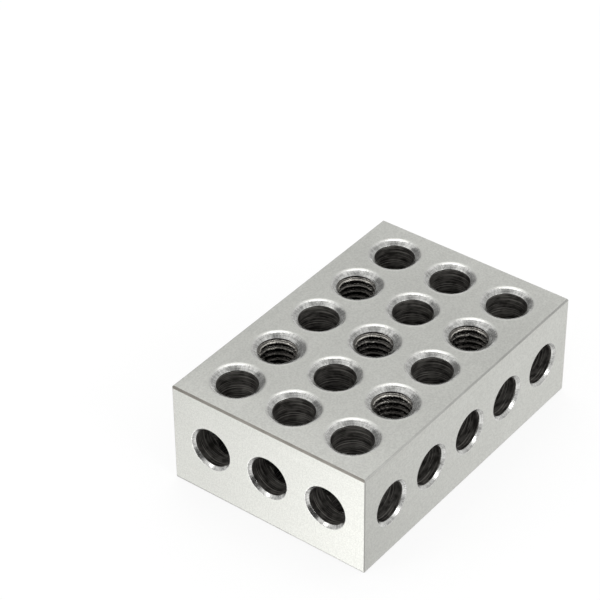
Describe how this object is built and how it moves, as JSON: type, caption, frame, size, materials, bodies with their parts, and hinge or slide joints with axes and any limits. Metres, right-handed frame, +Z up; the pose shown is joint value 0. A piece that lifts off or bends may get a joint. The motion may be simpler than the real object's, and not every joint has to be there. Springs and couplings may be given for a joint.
{
  "type": "machinist setup block",
  "caption": "Rectangular ground steel block with countersunk plain and tapped through holes that cross inside it, for setting up, squaring and clamping work.",
  "frame": {"origin": "middle of the bottom face, which is one of the two large faces", "axes": "+X along the length, +Y across the width, +Z up, out of the large face"},
  "size_m": [0.0762, 0.0508, 0.0254],
  "materials": {
    "ground_steel": "satin"
  },
  "bodies": {
    "root": {"setup_block": "ground_steel"}
  },
  "joints": []
}
